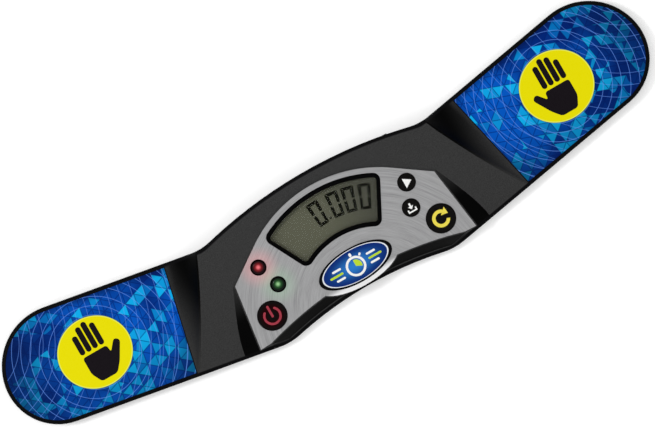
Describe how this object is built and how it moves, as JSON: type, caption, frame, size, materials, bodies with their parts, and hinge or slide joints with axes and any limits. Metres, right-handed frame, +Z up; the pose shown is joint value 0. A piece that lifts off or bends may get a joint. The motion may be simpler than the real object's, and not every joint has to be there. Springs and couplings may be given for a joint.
{
  "type": "speed cube timer",
  "caption": "Hand-pad competition timer: a raised console with an arched display and round keys between two flat, swept touch wings.",
  "frame": {"origin": "centre of the footprint on the surface the timer stands on", "axes": "+X to the right along its length, +Y to the back away from the user, +Z up"},
  "size_m": [0.395, 0.0837, 0.0256],
  "materials": {
    "badge": "blue oval with a black rim, bare of lettering",
    "cells": "plain sleeved dry cells",
    "door": "moulded black, ribbed finger groove",
    "contacts": "nickel plated",
    "components": "small chip parts and one capacitor",
    "small_screws": "zinc plated",
    "board": "green solder mask over glass fibre",
    "crystal_can": "drawn can",
    "chip": "black moulded package with tinned pins",
    "jack": "black moulded socket",
    "bezel": "thick rounded gloss black",
    "fascia": "silver film brushed in arcs about the display",
    "window": "clear acrylic",
    "green_lens": "clear green, moulded",
    "green_led": "cast epoxy",
    "screws": "black zinc",
    "black_wire": "thin insulated wire",
    "rings": "gloss black",
    "frame": "white moulded",
    "lcd": "grey-green liquid crystal display",
    "pad": "printed film, blue with a yellow disc",
    "sensor_wire": "thin insulated wire",
    "sensor": "thin metal foil plate",
    "base": "moulded black base with a fine texture",
    "sockets": "nickel plated snap sockets",
    "domes": "translucent silicone",
    "keys": "black moulded cap with a printed symbol",
    "red_wire": "thin insulated wire",
    "red_lens": "clear red, moulded",
    "red_led": "cast epoxy",
    "feet": "soft rubber",
    "shell": "satin moulded, fine spark texture on the deck and a smoother rounded rim",
    "zebra": "elastomer with fine conducting stripes"
  },
  "bodies": {
    "housing": {"upper_shell": "shell", "lower_shell": "base", "display_fascia": "fascia", "display_bezel": "bezel", "display_window": "window", "lcd_glass": "lcd", "lcd_frame": "frame", "zebra_strip": "zebra", "circuit_board": "board", "controller_chip": "chip", "clock_crystal": "crystal_can", "board_components": "components", "board_screws": "small_screws", "red_lamp_lens": "red_lens", "green_lamp_lens": "green_lens", "lamp_rings": "rings", "red_led": "red_led", "green_led": "green_led", "badge_plate": "badge", "left_sensor_plate": "sensor", "right_sensor_plate": "sensor", "left_pad_overlay": "pad", "right_pad_overlay": "pad", "left_sensor_lead": "sensor_wire", "right_sensor_lead": "sensor_wire", "positive_battery_lead": "red_wire", "negative_battery_lead": "black_wire", "data_jack": "jack", "jack_lead": "black_wire", "battery_cells": "cells", "battery_springs": "contacts", "battery_terminals": "contacts", "housing_screws": "screws", "rubber_feet": "feet", "mat_sockets": "sockets", "power_dome": "domes", "reset_dome": "domes", "play_dome": "domes", "save_dome": "domes"},
    "power_key": {"power_key": "keys"},
    "reset_key": {"reset_key": "keys"},
    "play_key": {"play_key": "keys"},
    "save_key": {"save_key": "keys"},
    "battery_door": {"battery_door": "door"}
  },
  "joints": [
    {"name": "power_press", "type": "slide", "parent": "housing", "child": "power_key", "axis": [0, 0.1305, -0.9914], "range_m": [0, 0.0012], "stiffness_N_per_m": 800, "deforming": ["power_dome"]},
    {"name": "reset_press", "type": "slide", "parent": "housing", "child": "reset_key", "axis": [0, 0.1305, -0.9914], "range_m": [0, 0.0012], "stiffness_N_per_m": 800, "deforming": ["reset_dome"]},
    {"name": "play_press", "type": "slide", "parent": "housing", "child": "play_key", "axis": [0, 0.1305, -0.9914], "range_m": [0, 0.0012], "stiffness_N_per_m": 800, "deforming": ["play_dome"]},
    {"name": "save_press", "type": "slide", "parent": "housing", "child": "save_key", "axis": [0, 0.1305, -0.9914], "range_m": [0, 0.0012], "stiffness_N_per_m": 800, "deforming": ["save_dome"]},
    {"name": "battery_door_hinge", "type": "hinge", "parent": "housing", "child": "battery_door", "pos_m": [0, 0.0288, 0.001], "axis": [1, 0, 0], "range_deg": [0, 90]}
  ]
}
